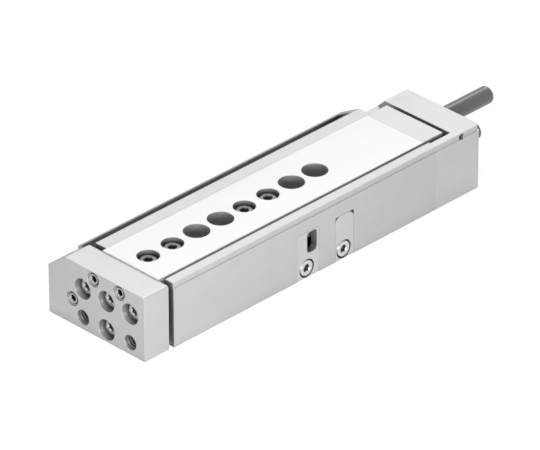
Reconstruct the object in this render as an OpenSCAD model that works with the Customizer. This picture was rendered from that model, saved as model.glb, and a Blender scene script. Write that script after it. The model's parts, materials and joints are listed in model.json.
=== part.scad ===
// Pneumatic slide table: a precision table on two ball-cage rows, driven by a
// small cylinder in the housing below it. Millimetres, +X along the extending
// stroke, +Z up, origin at the centre of the base face.

/* [Housing] */
// Thickness of the wall on the visible side
near_wall = 2.5; // [2.3:0.1:4]
// Height of the housing and the rear cap
body_h = 22.1; // [21.6:0.1:26]
// Length of the housing
housing_l = 111.8; // [108:1:150]
// Working stroke of the table
stroke = 50; // [30:5:55]
// Depth of the narrow step along the top of the visible side
ledge_in = 0.3; // [0.1:0.1:0.6]
// Height of that step below the top face
ledge_drop = 1.9; // [1:0.1:2.4]
// Clearance round the carriage bar in the housing
cavity_clear = 0.5; // [0.3:0.1:0.6]

/* [Sensor channel] */
// Thickness of the wall between the channel and the carriage bar's space
far_land = 3.45; // [3:0.05:6]
// Distance of the channel's inner wall from the far side
channel_in = 7.65; // [7:0.05:8]
// Width of the channel
channel_w = 5.6; // [5:0.1:6]
// Depth of the channel floor below the top face
channel_deep = 8.5; // [7:0.1:9]
// Drop of the far top edge, from the channel's inner wall to the side
far_drop = 4.3; // [3.5:0.1:5]
// Length of solid top behind the channel
channel_end = 2.8; // [2:0.1:4]

/* [Rear cap] */
// Length of the rear cap
cap_l = 19; // [18:0.5:24]
// Thickness of the cap's rear wall
cap_wall = 10.1; // [9:0.1:10.1]
// Extra room beside the rear block in the cap, on the visible side
pocket_extra = 0.65; // [0.3:0.05:0.8]
// Width of the slope on the cap's far top edge
cap_slope_w = 9.9; // [8:0.1:10.5]
// Height of that slope
cap_slope_h = 9.7; // [9:0.1:10.5]
// How far the cap's far wall is lowered beside the pocket
cap_step = 3; // [1:0.1:4]
// Radius of the cap's upright rear corner on the visible side
cap_round = 0.8; // [0.4:0.1:1.2]
// Radius of that corner above the ledge
cap_top_round = 1.5; // [0.8:0.1:2]

/* [Yoke plate] */
// Thickness of the yoke plate
yoke_t = 10; // [9:0.5:14]
// Gap between the yoke plate and the housing when retracted
yoke_gap = 2.1; // [1.5:0.1:3]
// Clearance of the yoke plate above the base plane
yoke_lift = 0.3; // [0.2:0.1:0.6]
// Width of the yoke plate's far top chamfer
yoke_slope_w = 7.2; // [6:0.1:8]
// Height of that chamfer
yoke_slope_h = 5.3; // [4:0.1:6]
// Radius of the yoke plate's near top corner
yoke_round = 0.7; // [0.3:0.1:1]
// Diameter of the two plain fixing holes in the yoke plate
yoke_hole_d = 5; // [4:0.1:5.4]
// Distance between those two holes
yoke_hole_gap = 20; // [19:0.5:22]

/* [Table] */
// Width of the table plate
table_w = 23.6; // [23:0.1:24]
// Height of the table plate above the housing
table_rise = 0.5; // [0.3:0.1:1]
// Thickness of the table plate
plate_t = 5.7; // [5.4:0.1:6]
// Gap between the table plate and the housing on each side
side_gap = 0.6; // [0.4:0.1:0.7]
// Width of the carriage bar under the table plate
carriage_w = 26; // [25:0.1:26.4]
// Height of the carriage bar
carriage_h = 5.5; // [5:0.1:5.8]
// Setback of the table plate's rear end from the housing's rear end
plate_back = 1.7; // [1:0.1:3]
// Length of the rear block
block_l = 8.5; // [7:0.1:8.5]
// Pitch of the eight bores in the table
hole_pitch = 10; // [10:0.1:10.4]
// Distance of the first bore from the yoke plate's back
hole_first = 7.3; // [7:0.1:8]
// Diameter of the bores that hold the table screws
small_bore_d = 7; // [6.4:0.1:7.4]
// Diameter of the plain centring bores
large_bore_d = 8.2; // [7.6:0.1:8.6]
// Depth of the centring bores
large_bore_deep = 6; // [5.2:0.1:7]
// Tapping diameter of the M5 threads below the centring bores
table_thread_d = 4.2; // [4:0.1:4.4]
// Depth of the table screws' heads below the table
table_head_sink = 1.2; // [0.6:0.1:1.6]

/* [Ball guide] */
// Ball diameter
ball_d = 3; // [2.8:0.1:3]
// Depth of the ball line below the table's top face
ball_drop = 2.9; // [2.7:0.1:3]
// Pitch of the balls in their cage
ball_pitch = 4; // [3.8:0.1:6]
// Thickness of the cage strips
cage_t = 0.3; // [0.2:0.05:0.3]
// Height of the cage strips
cage_h = 3.8; // [3.6:0.1:4]
// Running clearance round a ball
ball_clear = 0.05; // [0.03:0.01:0.06]

/* [Cylinder] */
// Cylinder bore
bore_d = 7; // [6.6:0.1:7.4]
// Piston rod diameter
rod_d = 4; // [3.8:0.1:4.4]
// Height of the cylinder axis above the base
rod_z = 4.5; // [4.4:0.1:4.9]
// Piston length
piston_l = 8; // [7:0.5:10]
// Diameter of the seat for the bushing, seal and wiper
gland_d = 7.8; // [7.6:0.1:8.2]
// Length of that seat
gland_l = 8; // [7:0.5:10]
// Air duct diameter
duct_d = 2; // [1.6:0.1:2.2]
// Tapping diameter of the M5 air ports
port_d = 4.2; // [4:0.1:4.4]
// Depth of the air ports
port_deep = 7; // [6:0.5:8]
// Distance between the two air ports
port_pitch = 10; // [9:0.1:10.5]
// Running clearance of sliding round parts
run_clear = 0.05; // [0.03:0.01:0.08]
// Clearance of a screw or a plug in its hole
seat_clear = 0.03; // [0.02:0.01:0.06]

/* [Stops] */
// Gap left between a stop and the piece that meets it
stop_gap = 0.3; // [0.2:0.05:0.4]
// Thickness of the rubber bumper
bumper_t = 2.4; // [2:0.1:3]
// Diameter of the shock absorber and of the stop screw
absorber_d = 5.9; // [5.6:0.1:6]
// Length of absorber that stands out of the rear cap
absorber_out = 20.6; // [12:0.2:26]
// Height of the absorber and the stop screw below the top face
absorber_drop = 4.1; // [4:0.1:4.6]
// Travel of the absorber's pin
pin_travel = 3.5; // [2.5:0.1:4]
// Diameter of the absorber's pin
pin_d = 2; // [1.6:0.1:2.4]
// Distance of the stop screw's axis from the visible side
stop_screw_in = 3.7; // [3.5:0.1:4]
// Length of stop screw that stands out of the rear cap
stop_screw_out = 1.6; // [1:0.1:3]

/* [Side inserts] */
// Width of the stop bracket's face
bracket_w = 9.2; // [9:0.1:10]
// Height of the stop bracket
bracket_h = 15.8; // [15:0.1:16]
// Height of the access plate
access_h = 15.4; // [14:0.1:16]
// Width of the access plate
access_w = 7.7; // [7:0.1:8.5]
// Distance from the stop bracket to the access plate
access_gap = 7.1; // [5:0.1:9]
// Radius of the access plate's top corners
access_round = 2.4; // [2:0.1:3]
// Width of the inspection window
window_w = 4.2; // [3.4:0.1:4.4]
// Height of the inspection window
window_h = 7.2; // [5:0.1:7.4]
// Radius of the window's corners
window_round = 1.2; // [0.8:0.1:1.8]
// Height of the window's centre above the base
window_z = 11.9; // [11.4:0.1:12]
// Clearance of the inserts in their pockets
insert_clear = 0.08; // [0.06:0.01:0.2]
// Height of the insert screws above the base
insert_screw_z = 3.3; // [3.3:0.1:3.6]

/* [Base holes] */
// Distance between the base threads along the travel
base_x = 70; // [50:1:72]
// Distance between the base threads across the travel
base_y = 26; // [24:0.5:30]
// Tapping diameter of the M4 base threads
base_thread_d = 3.3; // [3:0.1:3.4]
// Depth of the base threads
base_thread_deep = 5; // [4:0.1:5.4]
// Distance between the two base pin holes
base_pin_x = 40; // [30:1:56]
// Diameter of the base pin holes
base_pin_d = 3; // [2.5:0.1:4]
// Depth of the base pin holes
base_pin_deep = 4; // [3:0.1:6]
// Distance of the pin holes from the centre line, towards the far side
base_pin_y = 12; // [11:0.1:13]

/* [Screws] */
// Shank diameter of the M3 screws
m3_d = 3; // [2.9:0.1:3]
// Head diameter of the M3 screws
m3_head_d = 5.5; // [5.3:0.1:5.7]
// Head height of the M3 screws
m3_head_h = 3; // [2.6:0.1:3]
// Diameter of the counterbores in the yoke plate
yoke_cbore_d = 6.8; // [6.2:0.1:7]
// Depth of the yoke screws' heads below the yoke's face
yoke_head_sink = 2; // [1:0.1:2.5]
// Height of the yoke's upper screws above the carriage bar's underside
yoke_screw_rise = 2.9; // [2.7:0.1:3.1]
// Distance of the yoke's outer screws from the carriage bar's sides
yoke_screw_in = 3; // [2.8:0.1:3.5]
// Diameter of the M4 set screws
set_d = 4; // [3.8:0.1:4.2]
// Diameter of the shallow seat round a set screw
set_seat_d = 4.9; // [4.6:0.1:5]
// Spacing of the two jack screws
jack_pitch = 10.9; // [10.4:0.1:11.2]
// Depth of the jack screws below the top face
jack_drop = 2.6; // [2.6:0.05:3]
// Distance of the travel screw from the far side
travel_in = 10.1; // [9.7:0.1:10.5]
// Depth of the travel screw below the carriage bar's space
travel_drop = 1.8; // [1.4:0.1:2.2]
// Low head height of the insert screws
low_head_h = 1.9; // [1.6:0.1:2]
// Head diameter of the insert screws
low_head_d = 5.4; // [5:0.1:5.6]
// Diameter of the insert screws' counterbores
low_cbore_d = 6.2; // [5.8:0.1:6.4]

/* [Hidden] */
$fn = 64;
eps = 1;

// ends along the travel
x_front = (housing_l + cap_l) / 2;
x_rear = -x_front;
x_seam = x_front - housing_l;
x_yoke = x_front + yoke_gap;
x_nose = x_yoke + yoke_t;
x_plate = x_seam + plate_back;
x_block = x_plate - block_l;
x_pocket = x_rear + cap_wall;

// sides and levels
slot_half = table_w / 2 + side_gap;
cavity_half = carriage_w / 2 + cavity_clear;
body_w = channel_in + far_land + 2 * cavity_half + near_wall;
y_near = body_w / 2;
y_far = -body_w / 2;
y_wall = y_near - near_wall;
table_y = y_wall - cavity_half;
z_table = body_h + table_rise;
z_plate = z_table - plate_t;
z_carriage = z_plate - carriage_h;
z_cavity = z_carriage - cavity_clear;
z_shoulder = z_plate + cavity_clear;
z_ledge = body_h - ledge_drop;
z_absorber = body_h - absorber_drop;
y_stop_screw = y_near - stop_screw_in;

// ball rows
ball_y = table_w / 2 + side_gap / 2;
ball_z = z_table - ball_drop;
groove_r = ball_d / 2 + ball_clear;
cage_gap = 0.5;
cage_x0 = x_plate + stroke / 2 + cage_gap;
cage_x1 = x_front - stroke / 2 - cage_gap;
ball_count = floor((cage_x1 - cage_x0 - ball_d) / ball_pitch) + 1;
ball_x0 = (cage_x0 + cage_x1 - (ball_count - 1) * ball_pitch) / 2;

// stop leg under the rear block, and the bracket that it meets when extended
leg_w = 5.4;
leg_y = y_wall - cavity_clear - leg_w / 2;
leg_h = 5;
z_leg = z_carriage - leg_h;
leg_clear = 0.4;
x_bumper = x_plate + stroke + stop_gap;
x_lug = x_bumper + bumper_t;
bracket_lead = 1;
x_bracket0 = x_bumper - bracket_lead;
x_bracket1 = x_bracket0 + bracket_w;
lug_drop = 0.9;
z_lug = z_carriage - lug_drop;
lug_end = 0.4;
x_access1 = x_bracket0 - access_gap;
x_access0 = x_access1 - access_w;
x_window = x_bracket0 + 3;
x_bracket_screw = x_bracket0 + 5.2;
x_access_screw = x_access0 + 4.2;
bumper_d = 3.8;
bumper_stem_d = 2;
bumper_stem_l = 2;
clamp_screw_l = 5;

// absorber
absorber_seat = 2;
absorber_spare = 0.5;
pin_in = 12;
x_pin = x_pocket - pin_in;

// cylinder
x_gland = x_front - gland_l;
spigot_l = 3.2;
nut_t = 2;
nut_gap = 0.6;
x_nut = x_seam + spigot_l + nut_gap;
x_piston = x_nut + nut_t;
stud_d = 2.4;
seal_w = 1.2;
seal_deep = 0.9;
duct_y = table_y - port_pitch;
duct_end_in = 11.4;
x_duct = x_front - duct_end_in;
ring_t = 0.6;
notch_back = 8;
notch_drop = 1.2;
notch_d = 2;

// screws
hex3 = 2.5;
hex4 = 2;
m3_grip = 6;
insert_grip = 5;
insert_hole_spare = 1.1;
yoke_screw_z = z_carriage + yoke_screw_rise;
yoke_screw_pitch = carriage_w / 2 - yoke_screw_in;
travel_y = y_far + travel_in;
travel_z = z_cavity - travel_drop;
yoke_grip = 4.8;
cap_low_in = 4.7;
cap_low_z = 4.2;
cap_high_in = 6.5;
cap_high_z = 11;
cap_near_in = 3.3;
cap_near_z = 3.7;
cap_screw_places = [[y_far + cap_low_in, cap_low_z], [y_far + cap_high_in, cap_high_z],
                    [y_near - cap_near_in, cap_near_z]];
cap_cbore_d = 6;
cap_head_sink = 0.2;
x_cap_seat = x_rear + cap_head_sink + m3_head_h;
block_screw_half = 8;
z_block_screw = z_plate - 2.2;
block_cbore_d = 5.9;
jack_y = [table_y - jack_pitch / 2, table_y + jack_pitch / 2];
z_jack = body_h - jack_drop;
set_seat_deep = 0.6;
set_sink = 0.3;
small_places = [0, 1, 4, 5];
large_places = [2, 3, 6, 7];
magnet_d = 4;
magnet_t = 2;
magnet_in = 15;
x_magnet = x_plate + magnet_in;
function hole_x(i) = x_yoke - hole_first - i * hole_pitch;

// ---------- shared shapes ----------

// a box from its two corners
module block(a, b) {
    translate(a) cube(b - a);
}

// a flat outline in Y and Z, carried along X
module along_x(x0, x1) {
    translate([x0, 0, 0]) rotate([90, 0, 90]) linear_extrude(x1 - x0) children();
}

// a round bar or hole along X
module round_x(x0, x1, y, z, d) {
    translate([x0, y, z]) rotate([0, 90, 0]) cylinder(h = x1 - x0, d = d);
}

// a ring along X
module ring_x(x0, x1, y, z, d_out, d_in) {
    difference() {
        round_x(x0, x1, y, z, d_out);
        round_x(x0 - eps, x1 + eps, y, z, d_in);
    }
}

// a socket screw with its head's top at the origin and its shank along -Z
module socket_screw(d, head_d, head_h, shank, hex) {
    rim = 0.35;
    difference() {
        union() {
            translate([0, 0, -rim]) cylinder(h = rim, d1 = head_d, d2 = head_d - 2 * rim);
            translate([0, 0, -head_h]) cylinder(h = head_h - rim, d = head_d);
            translate([0, 0, -head_h - shank]) cylinder(h = shank, d = d);
        }
        translate([0, 0, -head_h * 0.55]) cylinder(h = head_h, d = hex / cos(30), $fn = 6);
    }
}

// a set screw with its socket end at the origin
module set_screw(d, length, hex) {
    tip = 0.4;
    difference() {
        union() {
            translate([0, 0, -length]) cylinder(h = tip, d1 = d - 2 * tip, d2 = d);
            translate([0, 0, tip - length]) cylinder(h = length - tip, d = d);
        }
        translate([0, 0, -2]) cylinder(h = 2 + eps, d = hex / cos(30), $fn = 6);
    }
}

// the outline of the space that the table runs in, widened on the near side
module cavity_outline(extra) {
    translate([table_y - slot_half, z_cavity])
        square([2 * slot_half + extra, body_h - z_cavity + eps]);
    translate([table_y - cavity_half, z_cavity])
        square([2 * cavity_half, z_shoulder - z_cavity]);
}

// the outline of the lane that the stop leg runs in
module leg_lane() {
    translate([leg_y - leg_w / 2 - leg_clear, z_leg - leg_clear])
        square([y_wall - leg_y + leg_w / 2 + leg_clear, z_cavity - z_leg + leg_clear + 0.1]);
}

// ---------- fixed pieces ----------

module housing_outline() {
    polygon([
        [y_far, 0], [y_near, 0], [y_near, z_ledge], [y_near - ledge_in, z_ledge],
        [y_near - ledge_in, body_h], [y_far + channel_in, body_h],
        [y_far, body_h - far_drop]
    ]);
}

module sensor_channel() {
    corner = 1.2;
    y0 = y_far + channel_in - channel_w;
    z0 = body_h - channel_deep;
    along_x(x_seam + channel_end + corner, x_front + eps) {
        translate([y0, z0 + corner]) square([channel_w, channel_deep]);
        translate([y0 + corner, z0]) square([channel_w - 2 * corner, channel_deep]);
        for (y = [y0 + corner, y0 + channel_w - corner])
            translate([y, z0 + corner]) circle(corner);
    }
    // rounded rear end of the channel
    for (y = [y0 + corner, y0 + channel_w - corner])
        translate([x_seam + channel_end + corner, y, z0 + corner])
            cylinder(h = channel_deep, r = corner);
    block([x_seam + channel_end, y0 + corner, z0 + corner],
          [x_seam + channel_end + 2 * corner, y0 + channel_w - corner, body_h + eps]);
}

module insert_pocket(x0, x1, height) {
    block([x0 - insert_clear, y_wall, -eps], [x1 + insert_clear, y_near + eps, height + insert_clear]);
}

module base_holes() {
    for (x = [-base_x / 2, base_x / 2], y = [-base_y / 2, base_y / 2])
        translate([x, y, -eps]) cylinder(h = base_thread_deep + eps, d = base_thread_d);
    for (x = [-base_pin_x / 2, base_pin_x / 2])
        translate([x, -base_pin_y, -eps]) cylinder(h = base_pin_deep + eps, d = base_pin_d);
}

module housing() color("gainsboro") difference() {
    along_x(x_seam, x_front) difference() {
        housing_outline();
        cavity_outline(0);
        for (s = [-1, 1]) translate([table_y + s * ball_y, ball_z]) circle(groove_r);
    }
    along_x(x_seam - eps, x_bracket1) leg_lane();
    sensor_channel();
    insert_pocket(x_bracket0, x_bracket1, bracket_h);
    insert_pocket(x_access0, x_access1, access_h);
    round_x(x_seam - eps, x_front + eps, table_y, rod_z, bore_d);
    round_x(x_gland, x_front + eps, table_y, rod_z, gland_d);
    // air duct to the front of the cylinder, and the drilling that joins it
    round_x(x_seam - eps, x_duct, duct_y, rod_z, duct_d);
    translate([x_duct, y_far - eps, rod_z]) rotate([-90, 0, 0])
        cylinder(h = table_y - y_far + eps, d = duct_d);
    translate([x_duct, y_far - eps, rod_z]) rotate([-90, 0, 0])
        cylinder(h = 3 + eps, d = duct_d + 1);
    for (p = cap_screw_places)
        round_x(x_seam - eps, x_seam + m3_grip + 1, p[0], p[1], m3_d + 2 * seat_clear);
    for (x = [x_bracket_screw, x_access_screw])
        translate([x, y_near - low_head_h - insert_grip - insert_hole_spare, insert_screw_z])
            rotate([-90, 0, 0]) cylinder(h = insert_grip + low_head_h, d = m3_d + 2 * seat_clear);
    base_holes();
}

// what the rounding of an upright rear corner takes away
module rear_corner(y, z0, z1, r) difference() {
    block([x_rear - eps, y - r, z0], [x_rear + r, y + eps, z1]);
    translate([x_rear + r, y - r, z0 - eps]) cylinder(h = z1 - z0 + 2 * eps, r = r);
}

module rear_cap() color("gainsboro") {
    spigot_y = table_y;
    difference() {
        union() {
            difference() {
                along_x(x_rear, x_seam) polygon([
                    [y_far, 0], [y_near, 0], [y_near, z_ledge], [y_near - ledge_in, z_ledge],
                    [y_near - ledge_in, body_h], [y_far + cap_slope_w, body_h],
                    [y_far, body_h - cap_slope_h]
                ]);
                along_x(x_pocket, x_seam + eps) {
                    cavity_outline(pocket_extra);
                    leg_lane();
                }
                // lowered far wall beside the pocket
                block([x_pocket, y_far - eps, body_h - cap_step],
                      [x_seam + eps, table_y - slot_half + eps, body_h + eps]);
            }
            round_x(x_seam - eps, x_seam + spigot_l, spigot_y, rod_z, bore_d - 2 * seat_clear);
        }
        ring_x(x_seam + 0.9, x_seam + 0.9 + seal_w + 0.1, spigot_y, rod_z,
               bore_d + 1, bore_d - 2 * seal_deep);
        // air ports and their ducts
        round_x(x_rear - eps, x_rear + port_deep, spigot_y, rod_z, port_d);
        round_x(x_rear, x_seam + spigot_l + eps, spigot_y, rod_z, duct_d);
        round_x(x_rear - eps, x_rear + port_deep, duct_y, rod_z, port_d);
        round_x(x_rear, x_seam + eps, duct_y, rod_z, duct_d);
        round_x(x_seam - ring_t, x_seam + eps, duct_y, rod_z, duct_d + 2.4);
        // absorber, stop screw and the absorber's set screw
        round_x(x_rear - eps, x_pocket + eps, table_y, z_absorber, absorber_d + 2 * seat_clear);
        round_x(x_rear - eps, x_pocket + eps, y_stop_screw, z_absorber, absorber_d + 2 * seat_clear);
        translate([x_rear + cap_wall / 2, y_far - eps, z_absorber]) rotate([-90, 0, 0])
            cylinder(h = table_y - y_far + eps, d = m3_d + 2 * seat_clear);
        for (p = cap_screw_places) {
            round_x(x_rear - eps, x_seam + eps, p[0], p[1], m3_d + 2 * seat_clear);
            round_x(x_rear - eps, x_cap_seat, p[0], p[1], cap_cbore_d);
        }
        // index dimple on the visible side, and the rounded upright corner
        translate([x_rear + notch_back, y_near - notch_d, body_h - notch_drop])
            rotate([-90, 0, 0]) cylinder(h = notch_d + eps, d = notch_d);
        rear_corner(y_near, -eps, body_h + eps, cap_round);
        rear_corner(y_near - ledge_in, z_ledge, body_h + eps, cap_top_round);
    }
}

module cap_screws() color("silver") {
    for (p = cap_screw_places)
        translate([x_rear + cap_head_sink, p[0], p[1]]) rotate([0, -90, 0])
            socket_screw(m3_d, m3_head_d, m3_head_h, x_seam - x_cap_seat + m3_grip, hex3);
}

module duct_plug() color("silver")
    translate([x_duct, y_far + 1.7, rod_z]) sphere(d = duct_d + 1 - 2 * seat_clear);

module rod_bushing() color("darkgoldenrod")
    ring_x(x_gland, x_front - 2.8, table_y, rod_z, gland_d - 2 * seat_clear, rod_d + 2 * run_clear);

module rod_seal() color("dimgray")
    ring_x(x_front - 2.75, x_front - 1.5, table_y, rod_z, gland_d - 2 * seat_clear,
           rod_d + 2 * run_clear);

module rod_wiper() color("black")
    ring_x(x_front - 1.45, x_front - 0.2, table_y, rod_z, gland_d - 2 * seat_clear,
           rod_d + 2 * run_clear);

module spigot_o_ring() color("black")
    ring_x(x_seam + 0.95, x_seam + 0.95 + seal_w, table_y, rod_z,
           bore_d - 2 * seat_clear, bore_d - 2 * seal_deep + 2 * seat_clear);

module duct_o_ring() color("black")
    ring_x(x_seam - ring_t + seat_clear, x_seam, duct_y, rod_z, duct_d + 2.4 - 2 * seat_clear,
           duct_d + 0.4);

module stop_bracket() color("lightgray") difference() {
    union() {
        block([x_bracket0, y_wall, 0.1], [x_bracket1, y_near, bracket_h]);
        block([x_lug, leg_y - leg_w / 2, z_leg], [x_bracket1 - lug_end, y_wall + 0.5, z_lug]);
    }
    // inspection window with round corners
    translate([x_window, y_wall - eps, window_z]) rotate([-90, 0, 0])
        linear_extrude(y_near - y_wall + 2 * eps) {
            square([window_w, window_h - 2 * window_round], center = true);
            square([window_w - 2 * window_round, window_h], center = true);
            for (s = [-1, 1], t = [-1, 1])
                translate([s * (window_w / 2 - window_round), t * (window_h / 2 - window_round)])
                    circle(window_round);
        }
    round_x(x_lug - eps, x_lug + bumper_stem_l, leg_y, (z_leg + z_lug) / 2,
            bumper_stem_d + 2 * seat_clear);
    insert_screw_hole(x_bracket_screw);
}

module insert_screw_hole(x) {
    translate([x, 0, insert_screw_z]) rotate([-90, 0, 0]) {
        cylinder(h = y_near + eps, d = m3_d + 2 * seat_clear);
        translate([0, 0, y_near - low_head_h]) cylinder(h = low_head_h + eps, d = low_cbore_d);
    }
}

module extend_bumper() color("darkslategray") {
    z = (z_leg + z_lug) / 2;
    round_x(x_bumper, x_lug, leg_y, z, bumper_d);
    round_x(x_lug, x_lug + bumper_stem_l - 0.1, leg_y, z, bumper_stem_d);
}

module access_plate() color("lightgray") difference() {
    translate([0, y_near, 0]) rotate([90, 0, 0]) linear_extrude(y_near - y_wall) {
        translate([x_access0, 0.1]) square([access_w, access_h - access_round - 0.1]);
        translate([x_access0 + access_round, 0.1])
            square([access_w - 2 * access_round, access_h - 0.1]);
        for (x = [x_access0 + access_round, x_access1 - access_round])
            translate([x, access_h - access_round]) circle(access_round);
    }
    insert_screw_hole(x_access_screw);
}

module insert_screws() color("silver") {
    for (x = [x_bracket_screw, x_access_screw])
        translate([x, y_near - 0.05, insert_screw_z]) rotate([-90, 0, 0])
            socket_screw(m3_d, low_head_d, low_head_h - 0.05, insert_grip, hex3);
}

module absorber_body() color("dimgray") difference() {
    x_tip = x_rear - absorber_out;
    end_round = 1;
    union() {
        round_x(x_tip + end_round, x_pocket - absorber_seat, table_y, z_absorber, absorber_d);
        // rounded outer end
        translate([x_tip, table_y, z_absorber]) rotate([0, 90, 0]) rotate_extrude() {
            square([absorber_d / 2 - end_round, end_round]);
            intersection() {
                translate([absorber_d / 2 - end_round, end_round]) circle(end_round);
                square([absorber_d / 2, end_round]);
            }
        }
    }
    round_x(x_tip - eps, x_tip + 1.5, table_y, z_absorber, 2.2);
    round_x(x_pin - pin_travel - absorber_spare, x_pocket, table_y, z_absorber, pin_d + 2 * run_clear);
}

module absorber_set_screw() color("silver")
    translate([x_rear + cap_wall / 2, table_y - absorber_d / 2 - clamp_screw_l, z_absorber])
        rotate([90, 0, 0]) set_screw(m3_d, clamp_screw_l - seat_clear, 1.5);

module stop_screw() color("silver") {
    nose_d = 3;
    length = cap_wall + stop_screw_out;
    difference() {
        round_x(x_rear - stop_screw_out, x_pocket - 0.2, y_stop_screw, z_absorber, absorber_d);
        translate([x_rear - stop_screw_out - eps, y_stop_screw, z_absorber]) rotate([0, 90, 0])
            cylinder(h = length / 4 + eps, d = hex3 / cos(30), $fn = 6);
    }
    round_x(x_pocket - 0.2, x_block - stop_gap, y_stop_screw - nose_d / 2 + 0.2, z_absorber, nose_d);
}

module absorber_pin() color("silver")
    round_x(x_pin, x_block - stop_gap, table_y, z_absorber, pin_d);

// ---------- ball guide ----------

// one cage strip; side is 1 for the near row and -1 for the far row
module cage(side) color("dimgray") difference() {
    y = table_y + side * ball_y;
    block([cage_x0, y - cage_t / 2, ball_z - cage_h / 2], [cage_x1, y + cage_t / 2, ball_z + cage_h / 2]);
    for (i = [0 : ball_count - 1])
        translate([ball_x0 + i * ball_pitch, y - eps, ball_z]) rotate([-90, 0, 0])
            cylinder(h = 2 * eps, d = ball_d + 2 * seat_clear);
}

module ball_row(side) color("silver")
    for (i = [0 : ball_count - 1])
        translate([ball_x0 + i * ball_pitch, table_y + side * ball_y, ball_z]) sphere(d = ball_d);

module cage_near() cage(1);
module cage_far() cage(-1);
module balls_near() ball_row(1);
module balls_far() ball_row(-1);

// ---------- moving table ----------

module table_plate() color("whitesmoke") difference() {
    along_x(x_plate, x_yoke) difference() {
        translate([table_y - table_w / 2, z_plate]) square([table_w, plate_t]);
        for (s = [-1, 1]) translate([table_y + s * ball_y, ball_z]) circle(groove_r);
    }
    for (i = small_places) translate([hole_x(i), table_y, 0]) {
        translate([0, 0, z_table - table_head_sink - m3_head_h])
            cylinder(h = table_head_sink + m3_head_h + eps, d = small_bore_d);
        cylinder(h = z_table, d = m3_d + 2 * seat_clear);
    }
    for (i = large_places)
        translate([hole_x(i), table_y, z_table - large_bore_deep])
            cylinder(h = large_bore_deep + eps, d = large_bore_d);
}

module carriage_bar() color("silver") difference() {
    block([x_plate, table_y - carriage_w / 2, z_carriage], [x_yoke, table_y + carriage_w / 2, z_plate]);
    for (i = small_places)
        translate([hole_x(i), table_y, z_plate - m3_grip * 0.7])
            cylinder(h = m3_grip, d = m3_d + 2 * seat_clear);
    for (i = large_places) translate([hole_x(i), table_y, 0]) {
        translate([0, 0, z_table - large_bore_deep]) cylinder(h = large_bore_deep, d = large_bore_d);
        cylinder(h = z_table, d = table_thread_d);
    }
    for (k = [-1, 0, 1])
        round_x(x_yoke - yoke_grip - 0.5, x_yoke + eps, table_y + k * yoke_screw_pitch, yoke_screw_z,
                m3_d + 2 * seat_clear);
    for (s = [-1, 1])
        round_x(x_plate - eps, x_plate + m3_grip, table_y + s * block_screw_half, z_block_screw,
                m3_d + 2 * seat_clear);
    translate([x_magnet, table_y - carriage_w / 2 - eps, (z_carriage + z_plate) / 2])
        rotate([-90, 0, 0]) cylinder(h = magnet_t + eps, d = magnet_d + 2 * seat_clear);
}

module rear_block() color("gainsboro") difference() {
    along_x(x_block, x_plate) {
        translate([table_y - table_w / 2, z_carriage]) square([table_w, z_table - z_carriage]);
        translate([table_y - carriage_w / 2, z_carriage]) square([carriage_w, carriage_h]);
        translate([leg_y - leg_w / 2, z_leg]) square([leg_w, leg_h + 0.5]);
    }
    for (s = [-1, 1]) {
        round_x(x_block - eps, x_plate + eps, table_y + s * block_screw_half, z_block_screw,
                m3_d + 2 * seat_clear);
        round_x(x_block - eps, x_block + m3_head_h + 0.2, table_y + s * block_screw_half, z_block_screw,
                block_cbore_d);
    }
}

module yoke_outline() difference() {
    polygon([
        [y_far, yoke_lift], [y_near, yoke_lift], [y_near, body_h],
        [y_far + yoke_slope_w, body_h], [y_far, body_h - yoke_slope_h]
    ]);
    translate([y_near - yoke_round, body_h - yoke_round]) difference() {
        square(yoke_round + eps);
        circle(yoke_round);
    }
}

module yoke_screw_places()
    for (p = [[-1, yoke_screw_z], [0, yoke_screw_z], [1, yoke_screw_z], [0, rod_z]])
        translate([x_nose, table_y + p[0] * yoke_screw_pitch, p[1]]) children();

module yoke_plate() color("gainsboro") difference() {
    along_x(x_yoke, x_nose) yoke_outline();
    yoke_screw_places() rotate([0, -90, 0]) {
        translate([0, 0, -eps]) cylinder(h = yoke_head_sink + m3_head_h + eps, d = yoke_cbore_d);
        translate([0, 0, -eps]) cylinder(h = yoke_t + 2 * eps, d = m3_d + 2 * seat_clear);
    }
    for (s = [-1, 1])
        round_x(x_yoke - eps, x_nose + eps, table_y + s * yoke_hole_gap / 2, rod_z, yoke_hole_d);
    for (p = [[jack_y[0], z_jack], [jack_y[1], z_jack], [travel_y, travel_z]]) {
        round_x(x_yoke - eps, x_nose + eps, p[0], p[1], set_d + 2 * seat_clear);
        round_x(x_nose - set_seat_deep, x_nose + eps, p[0], p[1], set_seat_d);
    }
}

module table_screws() color("silver")
    for (i = small_places)
        translate([hole_x(i), table_y, z_table - table_head_sink])
            socket_screw(m3_d, m3_head_d, m3_head_h,
                         z_table - table_head_sink - m3_head_h - z_plate + m3_grip * 0.6, hex3);

module yoke_screws() color("silver")
    for (k = [-1, 0, 1])
        translate([x_nose - yoke_head_sink, table_y + k * yoke_screw_pitch, yoke_screw_z])
            rotate([0, 90, 0])
                socket_screw(m3_d, m3_head_d, m3_head_h,
                             yoke_t - yoke_head_sink - m3_head_h + yoke_grip, hex3);

module rod_screw() color("silver")
    translate([x_nose - yoke_head_sink, table_y, rod_z]) rotate([0, 90, 0])
        socket_screw(m3_d - 0.5, m3_head_d, m3_head_h, yoke_t - yoke_head_sink - m3_head_h + m3_grip, hex3);

module jack_screws() color("silver")
    for (y = jack_y)
        translate([x_nose - set_sink, y, z_jack]) rotate([0, 90, 0])
            set_screw(set_d, yoke_t - set_sink, hex4);

module travel_screw() color("silver")
    translate([x_nose - set_sink, travel_y, travel_z]) rotate([0, 90, 0])
        set_screw(set_d, yoke_t - set_sink + yoke_gap - stop_gap, hex4);

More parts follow.
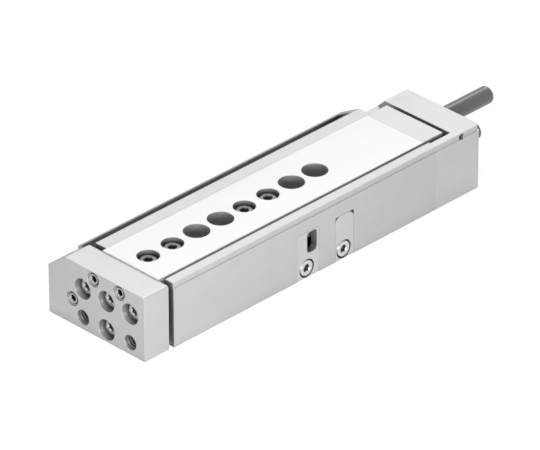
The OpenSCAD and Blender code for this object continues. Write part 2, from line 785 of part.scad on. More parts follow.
module block_screws() color("silver")
    for (s = [-1, 1])
        translate([x_block + 0.2, table_y + s * block_screw_half, z_block_screw]) rotate([0, -90, 0])
            socket_screw(m3_d, m3_head_d, m3_head_h, block_l - m3_head_h - 0.2 + m3_grip - 0.5, hex3);

module sensor_magnet() color("dimgray")
    translate([x_magnet, table_y - carriage_w / 2 + 0.1, (z_carriage + z_plate) / 2])
        rotate([-90, 0, 0]) cylinder(h = magnet_t - 0.1, d = magnet_d);

module piston_rod() color("lightgray") difference() {
    union() {
        round_x(x_piston + piston_l, x_yoke, table_y, rod_z, rod_d);
        round_x(x_nut, x_piston + piston_l, table_y, rod_z, stud_d);
    }
    round_x(x_yoke - m3_grip - 1, x_yoke + eps, table_y, rod_z, m3_d - 0.5 + 2 * seat_clear);
}

module piston() color("lightsteelblue") difference() {
    round_x(x_piston, x_piston + piston_l, table_y, rod_z, bore_d - 2 * run_clear);
    round_x(x_piston - eps, x_piston + piston_l + eps, table_y, rod_z, stud_d + 2 * seat_clear);
    for (x = [x_piston + 1.4, x_piston + piston_l - 1.4 - seal_w])
        ring_x(x, x + seal_w, table_y, rod_z, bore_d + 1, bore_d - 2 * seal_deep);
}

module piston_seals() color("black")
    for (x = [x_piston + 1.4, x_piston + piston_l - 1.4 - seal_w])
        ring_x(x + seat_clear, x + seal_w - seat_clear, table_y, rod_z, bore_d - 2 * seat_clear,
               bore_d - 2 * seal_deep + 2 * seat_clear);

module piston_nut() color("silver") difference() {
    translate([x_nut, table_y, rod_z]) rotate([0, 90, 0]) cylinder(h = nut_t, d = 5, $fn = 6);
    round_x(x_nut - eps, x_nut + nut_t + eps, table_y, rod_z, stud_d + 2 * seat_clear);
}

housing();
rear_cap();
cap_screws();
duct_plug();
rod_bushing();
rod_seal();
rod_wiper();
spigot_o_ring();
duct_o_ring();
stop_bracket();
extend_bumper();
access_plate();
insert_screws();
absorber_body();
absorber_set_screw();
stop_screw();
absorber_pin();
cage_near();
balls_near();
cage_far();
balls_far();
table_plate();
carriage_bar();
rear_block();
yoke_plate();
table_screws();
yoke_screws();
rod_screw();
jack_screws();
travel_screw();
block_screws();
sensor_magnet();
piston_rod();
piston();
piston_seals();
piston_nut();
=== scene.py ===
import json
import math

import bmesh
import bpy
import numpy as np
from mathutils import Matrix, Vector


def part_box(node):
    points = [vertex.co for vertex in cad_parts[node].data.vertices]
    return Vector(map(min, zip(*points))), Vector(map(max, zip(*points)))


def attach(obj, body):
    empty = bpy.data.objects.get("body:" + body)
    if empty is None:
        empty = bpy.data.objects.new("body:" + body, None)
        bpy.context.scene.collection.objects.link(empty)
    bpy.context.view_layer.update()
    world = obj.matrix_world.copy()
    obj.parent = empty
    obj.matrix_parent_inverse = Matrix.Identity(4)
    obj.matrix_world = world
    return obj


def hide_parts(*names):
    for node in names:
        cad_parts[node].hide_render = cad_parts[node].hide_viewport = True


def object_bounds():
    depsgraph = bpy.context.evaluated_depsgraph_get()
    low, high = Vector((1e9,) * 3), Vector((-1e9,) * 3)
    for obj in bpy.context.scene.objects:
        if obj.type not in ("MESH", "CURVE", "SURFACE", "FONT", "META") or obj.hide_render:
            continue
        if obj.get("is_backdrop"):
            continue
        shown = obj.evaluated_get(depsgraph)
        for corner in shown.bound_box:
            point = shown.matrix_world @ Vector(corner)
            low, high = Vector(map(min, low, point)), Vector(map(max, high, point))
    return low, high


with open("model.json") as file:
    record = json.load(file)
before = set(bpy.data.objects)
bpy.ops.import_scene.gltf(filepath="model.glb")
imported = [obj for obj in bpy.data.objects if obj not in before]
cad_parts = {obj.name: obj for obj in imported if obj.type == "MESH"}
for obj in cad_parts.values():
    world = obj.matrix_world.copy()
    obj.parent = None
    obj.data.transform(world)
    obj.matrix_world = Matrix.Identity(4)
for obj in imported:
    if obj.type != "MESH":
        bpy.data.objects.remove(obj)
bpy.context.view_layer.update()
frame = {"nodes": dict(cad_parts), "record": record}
nodes = frame["nodes"]
scene = bpy.context.scene
scene.view_settings.view_transform = "Standard"


# ---- Camera ------------------------------------------------------------------
# A long lens stands well back on the visible side, ahead of the yoke, and looks
# down on the table. Angles are in degrees, lengths in metres.
CAMERA_AZIMUTH = 134.91
CAMERA_ELEVATION = 30.934
CAMERA_ROLL = -0.13
CAMERA_DISTANCE = 1.9232
CAMERA_AIM = Vector((0.0602, 0.0, 0.01))
CAMERA_ASIDE = 0.03891
CAMERA_ABOVE = 0.01829
CAMERA_LENS = 433.33
turn, rise, roll = (math.radians(a) for a in (CAMERA_AZIMUTH, CAMERA_ELEVATION, CAMERA_ROLL))
back = Vector((math.sin(turn) * math.cos(rise), -math.cos(turn) * math.cos(rise), math.sin(rise)))
aside = (-back).cross(Vector((0, 0, 1))).normalized()
above = aside.cross(-back)
right = aside * math.cos(roll) + above * math.sin(roll)
upright = above * math.cos(roll) - aside * math.sin(roll)
camera = bpy.data.objects.new("camera", bpy.data.cameras.new("camera"))
scene.collection.objects.link(camera)
scene.camera = camera
camera.data.lens = CAMERA_LENS
camera.data.sensor_width = 36.0
camera.data.clip_start, camera.data.clip_end = 0.1, 20.0
place = CAMERA_AIM + back * CAMERA_DISTANCE + right * CAMERA_ASIDE + upright * CAMERA_ABOVE
stance = Matrix((right, upright, back)).transposed().to_4x4()
camera.matrix_world = Matrix.Translation(place) @ stance


# ---- Housing -----------------------------------------------------------------
# The fixed body: an extruded aluminium section, milled for the table, the inserts
# and the sensor channel, then etched and clear anodised. The anodic layer gives a
# dull, even light grey with a very fine tooth and faint lines along the extrusion.
def linear(hex_colour):
    """The linear colour of an sRGB hex value, by the sRGB curve."""
    parts = [int(hex_colour[i:i + 2], 16) / 255 for i in (1, 3, 5)]
    return [*(c / 12.92 if c <= 0.04045 else ((c + 0.055) / 1.055) ** 2.4 for c in parts), 1.0]


def add(material, kind, links=None, sockets=None, **settings):
    """One node of a kind, with its properties and sockets set and its inputs linked."""
    node = material.node_tree.nodes.new(kind)
    for name, value in settings.items():
        setattr(node, name, value)
    for name, value in (sockets or {}).items():
        node.inputs[name].default_value = value
    for name, source in (links or {}).items():
        material.node_tree.links.new(source, node.inputs[name])
    return node


def new_material(name):
    """An empty node material and its output node."""
    material = bpy.data.materials.new(name)
    material.use_nodes = True
    material.node_tree.nodes.clear()
    return material, add(material, "ShaderNodeOutputMaterial")


def cover(material, *names):
    """Gives carried-over solids one material all over."""
    for name in names:
        slots = nodes[name].data.materials
        slots.clear()
        slots.append(material)


CLOUD = 1000 / 9                # cloudy tone about 9 mm across
TOOTH = 1000 / 0.4              # etched tooth, drawn at 0.4 mm so that it shows
TOOTH_HIGH = 0.00002            # and 0.02 mm high
SOFT_EDGE = 0.00035             # broken edges of 0.35 mm
GAP = 0.008                     # painted shade gathers in gaps up to about 8 mm across
HOLLOW = 0.01                   # and in a piece's own hollows up to about 10 mm wide
SHUT, OPEN = 0.12, 0.55         # free view of the darkest gaps, and of the first painted shade
OFF_AXIS, ON_AXIS = 0.9, 0.95   # how much of a face's normal lies along an axis
SLOPE = (0, -0.545, 0.838)      # the way the sloped far faces look, which get painted shade


def paint_shade(material, colour, gap, hollow, clear=0.6, slot=SHUT):
    """Paints shade into a colour where about half of the view or more is blocked within the
    reach of a gap or a hollow, where little light would come in. The colour is multiplied by
    gap in the tightest gaps and by hollow in the deepest hollows, which end where a share
    called clear of the view is free. Faces across the travel stand in the narrowest slots and
    get the darkest painted shade already at the share called slot. Faces that look straight
    down lie on a bench, so gaps leave them as they are."""
    flat = add(material, "ShaderNodeNewGeometry").outputs["True Normal"]
    look = add(material, "ShaderNodeSeparateXYZ", {0: flat})
    across = add(material, "ShaderNodeMath", {0: look.outputs["X"]}, operation="ABSOLUTE")
    closed = add(material, "ShaderNodeMapRange", {"Value": across.outputs[0]},
                 {"From Min": OFF_AXIS, "From Max": ON_AXIS, "To Min": SHUT, "To Max": slot})
    under = add(material, "ShaderNodeMapRange", {"Value": look.outputs["Z"]},
                {"From Min": -ON_AXIS, "From Max": -OFF_AXIS, "To Min": 1.0, "To Max": 0.0})
    blocked = add(material, "ShaderNodeAmbientOcclusion", None, {"Distance": GAP}, samples=6)
    near = add(material, "ShaderNodeMapRange",
               {"Value": blocked.outputs["AO"], "From Min": closed.outputs[0]},
               {"From Max": OPEN, "To Min": gap, "To Max": 1.0})
    share = add(material, "ShaderNodeMath", {0: near.outputs[0], 1: under.outputs[0]},
                operation="MAXIMUM")
    own = add(material, "ShaderNodeAmbientOcclusion", None, {"Distance": HOLLOW}, samples=6,
              only_local=True)
    inside = add(material, "ShaderNodeMapRange", {"Value": own.outputs["AO"]},
                 {"From Min": SHUT, "From Max": clear, "To Min": hollow, "To Max": 1.0})
    both = add(material, "ShaderNodeMath", {0: share.outputs[0], 1: inside.outputs[0]},
               operation="MULTIPLY")
    # The painted shade multiplies the colour.
    dim = add(material, "ShaderNodeMix", {7: both.outputs[0]}, {"Factor": 1.0},
              data_type="RGBA", blend_type="MULTIPLY")
    if isinstance(colour, list):
        dim.inputs[6].default_value = colour
    else:
        material.node_tree.links.new(colour, dim.inputs[6])
    return dim.outputs[2]


def anodised(name, colour, tone=0.025, lines=(0.02, 1, 1), line_mm=0.5, rough=0.42, edge=0.25,
             metal=0.5, gap=0.3, hollow=0.3, clear=0.6, slot=0.42, bumps=0.1, slope_shade=1.0):
    """Clear anodised aluminium. The colour varies by a cloudy noise and by lines a given
    number of millimetres apart, drawn out along one axis. The bump is a fine tooth plus the
    same lines. Broken edges get a painted highlight, lighter by the share called edge, the
    sloped far faces get painted shade, darker by a given factor, and gaps are painted dark."""
    material, out = new_material(name)
    where = add(material, "ShaderNodeTexCoord").outputs["Object"]
    drawn = add(material, "ShaderNodeMapping", {"Vector": where}, {"Scale": lines})
    streak = add(material, "ShaderNodeTexNoise", {"Vector": drawn.outputs[0]},
                 {"Scale": 1000 / line_mm, "Detail": 3.0, "Roughness": 0.6})
    cloud = add(material, "ShaderNodeTexNoise", {"Vector": where}, {"Scale": CLOUD, "Detail": 4.0})
    tooth = add(material, "ShaderNodeTexNoise", {"Vector": where}, {"Scale": TOOTH, "Detail": 2.0})
    both = add(material, "ShaderNodeMath", {0: streak.outputs["Fac"], 1: cloud.outputs["Fac"]})
    # Two noises added lie mostly between 0.75 and 1.25.
    share = add(material, "ShaderNodeMapRange", {"Value": both.outputs[0]},
                {"From Min": 0.75, "From Max": 1.25})
    base = linear(colour)
    darker = [c * (1 - tone) for c in base[:3]] + [1]
    lighter = [min(1, c * (1 + tone)) for c in base]
    tint = add(material, "ShaderNodeMix", {"Factor": share.outputs[0]}, {6: darker, 7: lighter},
               data_type="RGBA")
    soft = add(material, "ShaderNodeBevel", None, {"Radius": SOFT_EDGE}, samples=4)
    flat = add(material, "ShaderNodeNewGeometry").outputs["True Normal"]
    same = add(material, "ShaderNodeVectorMath", {0: soft.outputs[0], 1: flat},
               operation="DOT_PRODUCT")
    # On a broken edge the soft normal stands 6 to 30 degrees off the face's own.
    rim = add(material, "ShaderNodeMapRange", {"Value": same.outputs["Value"]},
              {"From Min": 0.995, "From Max": 0.86, "To Min": 0.0, "To Max": edge})
    # Painted highlight: the broken edges are mixed towards white by that share, as if they caught
    # the light.
    painted_edge_highlight = add(material, "ShaderNodeMix", {"Factor": rim.outputs[0], 6: tint.outputs[2]},
              {7: linear("#FFFFFF")}, data_type="RGBA")
    # Painted shade on the sloped far faces: they are darkened by a given factor.
    tilt = add(material, "ShaderNodeVectorMath", {0: flat}, {1: SLOPE}, operation="DOT_PRODUCT")
    # A face counts as sloped within some 6 to 10 degrees.
    dull = add(material, "ShaderNodeMapRange", {"Value": tilt.outputs["Value"]},
               {"From Min": 0.985, "From Max": 0.995, "To Min": 1.0, "To Max": slope_shade})
    # The painted edge highlight times the painted shade of the slopes.
    painted_highlight_and_shade = add(material, "ShaderNodeMix", {6: painted_edge_highlight.outputs[2], 7: dull.outputs[0]},
               {"Factor": 1.0}, data_type="RGBA", blend_type="MULTIPLY")
    height = add(material, "ShaderNodeMath", {0: streak.outputs["Fac"], 1: tooth.outputs["Fac"]})
    bump = add(material, "ShaderNodeBump", {"Height": height.outputs[0], "Normal": soft.outputs[0]},
               {"Strength": bumps, "Distance": TOOTH_HIGH})
    gloss = add(material, "ShaderNodeMapRange", {"Value": tooth.outputs["Fac"]},
                {"From Min": 0.3, "From Max": 0.7, "To Min": rough - 0.03, "To Max": rough + 0.03})
    skin = add(material, "ShaderNodeBsdfPrincipled",
               {"Base Color": paint_shade(material, painted_highlight_and_shade.outputs[2], gap, hollow, clear, slot),
                "Roughness": gloss.outputs[0], "Normal": bump.outputs[0]}, {"Metallic": metal})
    material.node_tree.links.new(skin.outputs[0], out.inputs[0])
    return material


cover(anodised("extruded_anodised_aluminium", "#D3D3D3", edge=0.6, gap=0.22, hollow=0.6,
               slope_shade=0.55), "housing")


# ---- Rear cap ----------------------------------------------------------------
# A milled aluminium block screwed to the housing's rear, anodised like it. Its
# faces were milled, so their faint lines run another way.
cover(anodised("milled_anodised_cap", "#D7D7D7", lines=(1, 0.05, 0.05), edge=0.6, gap=0.6,
               hollow=0.9, slope_shade=0.7), "rear_cap")


# ---- Yoke plate --------------------------------------------------------------
# The plate on the table's front end: milled from bar, drilled and counterbored,
# then anodised. Its large faces show the finest of milling lines.
cover(anodised("milled_anodised_yoke", "#D4D4D4", lines=(1, 0.05, 1), edge=0.35, gap=0.5,
               hollow=0.8, slope_shade=0.55), "yoke_plate")


# ---- Rear block and side inserts ---------------------------------------------
# Small milled aluminium blocks, anodised in the same bath and a shade lighter. The
# inserts sit in the near side, and the block ends the row behind the table plate.
cover(anodised("milled_anodised_block", "#D8D8D8", lines=(0.05, 1, 1), gap=0.6, hollow=0.9),
      "rear_block")
cover(anodised("milled_anodised_insert", "#DADADA", lines=(1, 1, 0.05), edge=0.5, gap=0.6,
               clear=0.8), "stop_bracket", "access_plate")


# ---- Table plate and carriage bar --------------------------------------------
# The sliding table: stainless steel, hardened and ground flat, so it is brighter
# than the anodised parts, with very fine grinding lines along the travel. The bar
# that carries it between the balls is milled steel and greyer.
cover(anodised("ground_stainless_steel", "#EEEEEE", tone=0.01, lines=(0.01, 1, 1), line_mm=0.3,
               rough=0.35, edge=0.1, bumps=0.015, gap=0.9, hollow=0.15, clear=0.62), "table_plate")
cover(anodised("milled_steel_bar", "#A8A8AA", lines=(0.05, 1, 1), gap=0.6), "carriage_bar")


# ---- Screws ------------------------------------------------------------------
# Steel socket screws with a rolled thread and a knurled head. Those in the yoke, the
# cap and the inserts are zinc plated and bright, the set screws are duller stainless
# steel, and those down in the table's bores are bare grey steel.
GRAIN_HIGH = 0.00003            # steel and rubber show a grain some 0.03 mm high


def steel(name, colour, rough, grain_mm=0.4, metal=1.0, gap=0.8, hollow=0.3, bumps=0.15,
          spread=0.08):
    """Bare or plated steel: metal whose roughness varies by a fine noise, with painted shade in its
    gaps and hollows.
    """
    material, out = new_material(name)
    where = add(material, "ShaderNodeTexCoord").outputs["Object"]
    grain = add(material, "ShaderNodeTexNoise", {"Vector": where},
                {"Scale": 1000 / grain_mm, "Detail": 3.0})
    gloss = add(material, "ShaderNodeMapRange", {"Value": grain.outputs["Fac"]},
                {"From Min": 0.3, "From Max": 0.7, "To Min": rough - spread,
                 "To Max": rough + spread})
    bump = add(material, "ShaderNodeBump", {"Height": grain.outputs["Fac"]},
               {"Strength": bumps, "Distance": GRAIN_HIGH})
    skin = add(material, "ShaderNodeBsdfPrincipled",
               {"Base Color": paint_shade(material, linear(colour), gap, hollow),
                "Roughness": gloss.outputs[0], "Normal": bump.outputs[0]}, {"Metallic": metal})
    material.node_tree.links.new(skin.outputs[0], out.inputs[0])
    return material


STEPS = 72              # points round a turned piece, a multiple of six for the sockets
ROUND = np.linspace(0, 2 * np.pi, STEPS, endpoint=False)
HEXAGON = 1 / np.cos((ROUND + np.pi / 6) % (np.pi / 3) - np.pi / 6)
SAME_POINT = 1e-7       # points nearer than this are one, such as a ring of radius 0
SHARP = math.radians(28)        # edges that turn more than this stay crisp


def ring(radius, height, shape=1.0):
    """One ring of a turned surface: radius times a shape factor at each angle, at a height."""
    return np.stack([radius * shape * np.ones(STEPS), height * np.ones(STEPS)])[None]


def thread(radius, pitch, deep, top, bottom):
    """Rings of a thread, six to a pitch: the radius falls and rises in a straight-sided wave
    with flat roots and crests, whose phase is the height over the pitch plus the turn round
    the axis. It fades out over one pitch at both ends."""
    height = np.linspace(top, bottom, max(8, int((top - bottom) / pitch * 6)))[:, None]
    phase = (height / pitch + ROUND[None] / (2 * np.pi)) % 1
    wave = np.clip(np.abs(phase - 0.5) * 2.6 - 0.15, 0, 1)
    fade = np.clip(np.minimum(top - height, height - bottom) / pitch, 0, 1)
    return np.stack([radius - deep * wave * fade, height + 0 * phase], axis=1)


def turned_piece(name, rings, places, axis, body, slot, material, *replaced):
    """A surface turned round an axis, from rings in order, put at each place (mm), all as one
    mesh. The point at an angle t of a ring is place + height * along + radius * (side * cos t
    + other * sin t), where along, side and other are unit vectors at right angles."""
    both = np.concatenate(rings)
    radius, height = both[:, 0], both[:, 1]
    along = np.array(axis, float)
    side = np.array((0, 1, 0) if abs(along[1]) < 0.5 else (0, 0, 1), float)
    other = np.cross(along, side)
    points = (radius[..., None] * (np.cos(ROUND)[:, None] * side + np.sin(ROUND)[:, None] * other)
              + height[..., None] * along).reshape(-1, 3)
    rows = len(radius)
    first = (np.arange(rows - 1)[:, None] * STEPS + np.arange(STEPS)).ravel()
    second = (np.arange(rows - 1)[:, None] * STEPS + (np.arange(STEPS) + 1) % STEPS).ravel()
    faces = np.stack([first, second, second + STEPS, first + STEPS], axis=1)
    count = rows * STEPS
    all_points = (np.array(places, float)[:, None] + points[None]).reshape(-1, 3) / 1000
    all_faces = (np.arange(len(places))[:, None, None] * count + faces[None]).reshape(-1, 4)
    mesh = bpy.data.meshes.new(name)
    mesh.from_pydata(all_points, [], all_faces)
    welded = bmesh.new()
    welded.from_mesh(mesh)
    bmesh.ops.remove_doubles(welded, verts=welded.verts, dist=SAME_POINT)
    bmesh.ops.recalc_face_normals(welded, faces=welded.faces)
    welded.to_mesh(mesh)
    welded.free()
    mesh.shade_smooth()
    mesh.set_sharp_from_angle(angle=SHARP)
    mesh.materials.append(material)
    piece = bpy.data.objects.new(name, mesh)
    scene.collection.objects.link(piece)
    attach(piece, body)
    if replaced:
        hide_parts(*replaced)
    return piece


def socket(across, deep):
    """Rings of a hexagon socket, from its drilled bottom up to its chamfered mouth."""
    half = across / 2
    return [ring(0, -deep - 0.3), ring(half * 0.8, -deep - 0.05), ring(half, -deep, HEXAGON),
            ring(half, -0.3, HEXAGON), ring(half / math.cos(math.pi / 6) + 0.08, 0)]


def socket_screw(long, bare=0.0, deep=0.5, head=5.5, high=3.0, across=2.5, shank=3.0):
    """Rings of a socket screw with its head's top at height 0: the socket, a rounded rim, a
    knurled side, the seat, a bare neck and a thread that ends in a chamfer. The sizes not
    given are an M3 screw's."""
    rim, neck = head / 2, shank / 2
    knurl = 1 - 0.03 * (np.arange(STEPS) % 3 == 0)
    top = [ring(rim - 0.45, 0), ring(rim - 0.2, -0.08), ring(rim - 0.06, -0.24), ring(rim, -0.45)]
    side = [ring(rim, -0.6), ring(rim, -0.7, knurl), ring(rim, -high + 0.35, knurl),
            ring(rim, -high + 0.25)]
    seat = [ring(rim - 0.15, -high), ring(neck, -high), ring(neck, -high - 0.3 - bare)]
    tip = [ring(neck - 0.05, -long + 0.4), ring(neck - 0.4, -long), ring(0, -long)]
    return [*socket(across, high * deep), *top, *side, *seat,
            thread(neck, 0.5, 0.27, -high - 0.35 - bare, -long + 0.45), *tip]


def set_screw(long, across=2.0, size=4.0):
    """Rings of a set screw with its socket end at height 0, threaded all along. The sizes not
    given are an M4 screw's."""
    crest = size / 2
    return [*socket(across, 2.0),
            ring(crest - 0.42, 0), ring(crest - 0.3, -0.5), ring(crest - 0.05, -0.6),
            thread(crest, 0.7, 0.3, -0.65, -long + 0.6),
            ring(crest - 0.05, -long + 0.5), ring(crest - 0.6, -long), ring(0, -long)]


def solids(node):
    """The lowest and highest corners (mm) of each separate solid of a node. Triangles that
    share a corner belong together: each corner takes the lowest label found in its triangles,
    until no label falls. Corners are rounded to 0.001 mm, so that shared ones are equal."""
    mesh = nodes[node].data
    places = np.empty(len(mesh.vertices) * 3)
    mesh.vertices.foreach_get("co", places)
    order = np.empty(len(mesh.loops), int)
    mesh.loops.foreach_get("vertex_index", order)
    corners, index = np.unique((places * 1000).round(3).reshape(-1, 3), axis=0,
                               return_inverse=True)
    triangles = index.ravel()[order].reshape(-1, 3)
    label = np.arange(len(corners))
    falling = True
    while falling:
        lowest = label.copy()
        np.minimum.at(lowest, triangles, label[triangles].min(axis=1)[:, None])
        falling = (lowest < label).any()
        label = lowest
    groups = [corners[label == one] for one in np.unique(label)]
    return [(group.min(axis=0), group.max(axis=0)) for group in groups]


def outer_ends(node, axis):
    """For each solid of a node, the middle (mm) of its end that looks along an axis. The flats
    of a round solid's mesh put its middle off by some 0.003 mm, so it is rounded to 0.01."""
    along = np.array(axis)
    return [((low + high) / 2 + along * (high - low) / 2).round(2) for low, high in solids(node)]


def span(node, axis):
    """How long (mm) each of a node's like solids is along an axis."""
    low, high = solids(node)[0]
    return round(float(abs((high - low) @ np.array(axis))), 2)


def fit_screws(node, axis, body, material, shape, **sizes):
    """Turned screws of one shape in place of a node's plain ones. Each has its head in the
    middle of the plain one's outer end and is as long as it."""
    turned_piece("turned_" + node, shape(span(node, axis), **sizes), outer_ends(node, axis),
                 axis, body, "screw_steel", material, node)


plated_screw = steel("zinc_plated_screw_steel", "#D0D0D0", 0.3)
bright_screw = steel("stainless_screw_steel", "#BCBCBC", 0.42, gap=0.3)
table_screw = steel("bare_screw_steel", "#7E7E7E", 0.42, gap=0.85, hollow=1.0)
FRONT, REAR, NEAR, UP = (1, 0, 0), (-1, 0, 0), (0, 1, 0), (0, 0, 1)
fit_screws("yoke_screws", FRONT, "table", plated_screw, socket_screw, bare=4.5)
fit_screws("rod_screw", FRONT, "table", plated_screw, socket_screw, bare=5.0, shank=2.5)
fit_screws("table_screws", UP, "table", table_screw, socket_screw, bare=0.5)
fit_screws("jack_screws", FRONT, "table", bright_screw, set_screw)
fit_screws("travel_screw", FRONT, "table", bright_screw, set_screw)
fit_screws("block_screws", REAR, "table", plated_screw, socket_screw, bare=4.5)
fit_screws("insert_screws", NEAR, "fixed_body", plated_screw, socket_screw, deep=0.9, head=5.4,
           high=1.85, across=2.3)
fit_screws("cap_screws", REAR, "fixed_body", plated_screw, socket_screw, bare=11.0)
cover(plated_screw, "absorber_set_screw", "piston_nut")


# ---- Shock absorber and stop screw -------------------------------------------
# A steel tube threaded all along, with a socket in its rounded outer end and a pin
# that the rear block meets. It and the stop screw beside it are black oxidised and
# oiled, which leaves a dark, half-gloss skin with a bright line along its top.
blackened = steel("black_oxide_steel", "#7E7E7E", 0.26, metal=0.35, bumps=0.02, spread=0.02)
low, high = solids("absorber_body")[0]
crest = (high[2] - low[2]) / 2      # the stop screw is as thick
tube_end = -span("absorber_body", REAR)
PIN_BORE, PIN_DEEP = 1.06, 14.0
tube = [*socket(2.0, 1.5),
        ring(crest - 1.0, 0), ring(crest - 0.62, -0.08), ring(crest - 0.29, -0.29),
        ring(crest - 0.08, -0.62), ring(crest - 0.02, -0.95),
        thread(crest, 0.5, 0.012, -1.0, tube_end + 0.5),
        ring(crest - 0.02, tube_end + 0.4), ring(crest - 0.4, tube_end),
        ring(PIN_BORE + 0.24, tube_end), ring(PIN_BORE, tube_end + 0.2),
        ring(PIN_BORE, tube_end + PIN_DEEP), ring(0, tube_end + PIN_DEEP + 0.2)]
turned_piece("threaded_absorber", tube, outer_ends("absorber_body", REAR), REAR,
             "fixed_body", "absorber_steel", blackened, "absorber_body")

NOSE = 2.0              # the stop screw's plain nose, which stands off the screw's axis,
NOSE_ASIDE = 1.3        # towards the rear block that it stops
stud_end = NOSE - span("stop_screw", REAR)
stud = [*socket(2.5, 3.0), ring(crest - 0.25, 0), ring(crest - 0.02, -0.2),
        thread(crest, 0.5, 0.1, -0.5, stud_end + 0.5),
        ring(crest - 0.02, stud_end + 0.4), ring(crest - 0.4, stud_end), ring(0, stud_end)]
turned_piece("threaded_stop_screw", stud, outer_ends("stop_screw", REAR), REAR,
             "fixed_body", "screw_steel", blackened, "stop_screw")
nose = [ring(0, 0), ring(1.2, 0), ring(1.5, -0.3), ring(1.5, -NOSE - 0.3), ring(0, -NOSE - 0.3)]
tip = outer_ends("stop_screw", FRONT)[0] - (0, NOSE_ASIDE, 0)
turned_piece("stop_screw_nose", nose, [tip], FRONT, "fixed_body", "screw_steel", blackened)


# ---- Threads of the tapped holes ---------------------------------------------
# The holes that take the user's screws and fittings are tapped: metric threads in the
# yoke, the bar under the table, the base and the two air ports. They are cut clean in
# the same metal, so their flanks are bright lines in the shade of the hole.
def tapped(radius, pitch, deep):
    """Rings of a thread inside a hole: the ridge wave of a thread turned inwards, closed by
    the wall. It starts and ends a little inside the hole, and stands just clear of its wall."""
    start, end, lining = -0.4, -deep + 0.4, radius - 0.02
    return [ring(radius, start), ring(lining, start), thread(lining, pitch, 0.17, start, end),
            ring(lining, end), ring(radius, end), ring(radius, start)]


def tap_holes(name, node, mounts, pitch, body, slot, material):
    """Threads in those of the record's holes whose names start with a word, each from the
    outer end of the hole, or from where the hole comes out of the node's box."""
    holes = [mount for mount in frame["record"]["mounts"] if mount["name"].startswith(mounts)]
    axis, sizes = np.array(holes[0]["axis"]), holes[0]["dims"]
    low, high = (np.array(corner) * 1000 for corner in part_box(node))
    middles = [np.array(hole["pos_m"]) * 1000 for hole in holes]
    places = [np.clip(middle + axis * sizes["length_mm"] / 2, low, high).round(2)
              for middle in middles]
    turned_piece(name, tapped(sizes["r_mm"], pitch, sizes["length_mm"]), places, axis, body,
                 slot, material)


tapped_alloy = anodised("tapped_anodised_hole", "#C0C0C0", lines=(1, 1, 1), edge=0.0, gap=0.6)
tapped_steel = anodised("tapped_steel_hole", "#B0B0B0", lines=(1, 1, 1), edge=0.0, gap=0.8,
                        hollow=0.1)
tap_holes("yoke_threads", "yoke_plate", "yoke_hole", 1.0, "table", "yoke_aluminium", tapped_alloy)
tap_holes("table_threads", "carriage_bar", "table_thread", 0.8, "table", "bar_steel",
          tapped_steel)
tap_holes("port_threads", "rear_cap", "air_port", 0.8, "fixed_body", "cap_aluminium",
          tapped_alloy)
BASE_TAPPED = 5.0       # how deep the base is tapped
base = next(mount["dims"] for mount in frame["record"]["mounts"]
            if mount["name"] == "base_threads")
half_x, half_y = base["spacing_x_mm"] / 2, base["spacing_y_mm"] / 2
turned_piece("base_threads", tapped(base["hole_r_mm"], 0.7, BASE_TAPPED),
             [(x, y, 0) for x in (-half_x, half_x) for y in (-half_y, half_y)],
             (0, 0, -1), "fixed_body", "body_aluminium", tapped_alloy)


# ---- Cylinder, guide and other inner pieces ----------------------------------
# What the part holds inside, seen only with the table out or through a bore. The rod
# and the balls are ground nearly to a mirror, the bushing is dull sintered bronze, the
# seals are matt black rubber, and the moulded cages are black and slightly glossy.
cover(steel("ground_plated_rod", "#CFCFCF", 0.18), "absorber_pin", "piston_rod", "balls_near",
      "balls_far", "duct_plug")
cover(steel("turned_aluminium", "#C8C8CA", 0.35), "piston")
cover(steel("nickel_plated_magnet", "#8A8A8C", 0.3), "sensor_magnet")
cover(steel("sintered_bronze", "#A67C4A", 0.5), "rod_bushing")


def moulded(name, colour, rough):
    """Moulded rubber or plastic: one colour with a fine tooth."""
    material, out = new_material(name)
    where = add(material, "ShaderNodeTexCoord").outputs["Object"]
    grain = add(material, "ShaderNodeTexNoise", {"Vector": where}, {"Scale": TOOTH, "Detail": 3.0})
    gloss = add(material, "ShaderNodeMapRange", {"Value": grain.outputs["Fac"]},
                {"From Min": 0.3, "From Max": 0.7, "To Min": rough - 0.08, "To Max": rough + 0.08})
    bump = add(material, "ShaderNodeBump", {"Height": grain.outputs["Fac"]},
               {"Strength": 0.3, "Distance": GRAIN_HIGH})
    skin = add(material, "ShaderNodeBsdfPrincipled",
               {"Roughness": gloss.outputs[0], "Normal": bump.outputs[0]},
               {"Base Color": linear(colour)})
    material.node_tree.links.new(skin.outputs[0], out.inputs[0])
    return material


cover(moulded("nitrile_rubber", "#202020", 0.6), "rod_seal", "rod_wiper", "spigot_o_ring",
      "duct_o_ring", "piston_seals", "extend_bumper")
cover(moulded("acetal_cage", "#2C2C2E", 0.45), "cage_near", "cage_far")


# ---- Floor, lamps and surroundings -------------------------------------------
# A white sweep that keeps the object's shadow and is clear from below, in an even
# white room. A small lamp far behind draws the bright line on the absorber, a low strip
# stands near the yoke on the near side, and a lamp behind and above lights the tops.
floor_mesh = bpy.data.meshes.new("floor")
reach = 3.0
under = -0.0002         # just below the base, so that the two faces don't share a plane
floor_mesh.from_pydata([(-reach, -reach, under), (reach, -reach, under), (reach, reach, under),
                        (-reach, reach, under)], [], [(0, 1, 2, 3)])
floor = bpy.data.objects.new("floor", floor_mesh)
scene.collection.objects.link(floor)


def seen_rays(material):
    """1 for the rays that show the surroundings: straight, mirrored or let through."""
    ray = add(material, "ShaderNodeLightPath")
    shown = ray.outputs["Is Camera Ray"]
    for kind in ("Is Glossy Ray", "Is Transmission Ray"):
        shown = add(material, "ShaderNodeMath", {0: shown, 1: ray.outputs[kind]},
                    operation="MAXIMUM").outputs[0]
    return shown


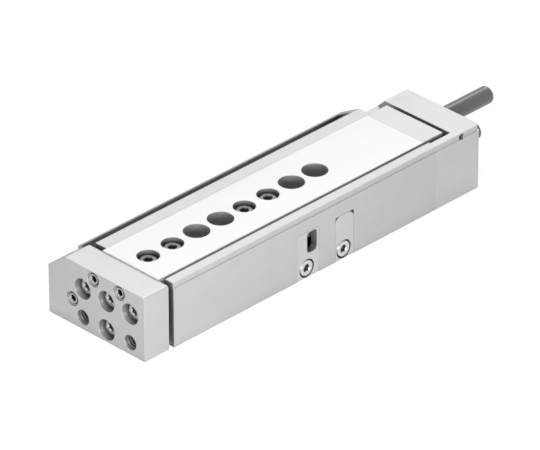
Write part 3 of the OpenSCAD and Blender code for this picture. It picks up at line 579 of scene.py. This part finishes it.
paper, out = new_material("white_paper")
shown = seen_rays(paper)
matt = add(paper, "ShaderNodeBsdfDiffuse", None, {"Color": linear("#CCCCCC")})
PAPER_GLOW = 0.82       # what the lamps leave short of white
level = add(paper, "ShaderNodeMath", {0: shown}, {1: PAPER_GLOW}, operation="MULTIPLY")
glow = add(paper, "ShaderNodeEmission", {"Strength": level.outputs[0]},
           {"Color": linear("#FFFFFF")})
mixed = add(paper, "ShaderNodeAddShader", {0: matt.outputs[0], 1: glow.outputs[0]})
below = add(paper, "ShaderNodeNewGeometry").outputs["Backfacing"]
clear_below = add(paper, "ShaderNodeBsdfTransparent")
one_sided = add(paper, "ShaderNodeMixShader", {0: below, 1: mixed.outputs[0],
                                               2: clear_below.outputs[0]})
paper.node_tree.links.new(one_sided.outputs[0], out.inputs[0])
floor_mesh.materials.append(paper)
floor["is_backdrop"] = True

world = bpy.data.worlds.new("white_room")
scene.world = world
world.use_nodes = True
world.node_tree.nodes.clear()
ROOM_LIGHT, ROOM_SEEN = 0.1, 1.0        # it lights the part weakly and looks white
strength = add(world, "ShaderNodeMapRange", {"Value": seen_rays(world)},
               {"To Min": ROOM_LIGHT, "To Max": ROOM_SEEN})
air = add(world, "ShaderNodeBackground", {"Strength": strength.outputs[0]},
          {"Color": linear("#FFFFFF")})
sky = add(world, "ShaderNodeOutputWorld")
world.node_tree.links.new(air.outputs[0], sky.inputs[0])


def lamp(name, place, aim, watts, wide, high):
    """A soft rectangular lamp at a place, turned to an aim, so many metres wide and high."""
    light = bpy.data.lights.new(name, "AREA")
    light.shape = "RECTANGLE"
    light.energy, light.size, light.size_y = watts, wide, high
    holder = bpy.data.objects.new(name, light)
    holder.location = place
    holder.rotation_euler = (Vector(aim) - Vector(place)).to_track_quat("-Z", "Y").to_euler()
    scene.collection.objects.link(holder)


lamp("spark_lamp", (-0.67, -0.41, 0.77), (0, 0, 0), 1.0, 0.3, 0.3)
lamp("near_lamp", (0.175, 0.22, 0.06), (0, 0, 0), 0.45, 0.26, 0.1)
lamp("back_lamp", (-0.4, -0.5, 0.95), (0, 0, 0), 2.5, 0.4, 0.4)


low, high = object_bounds()
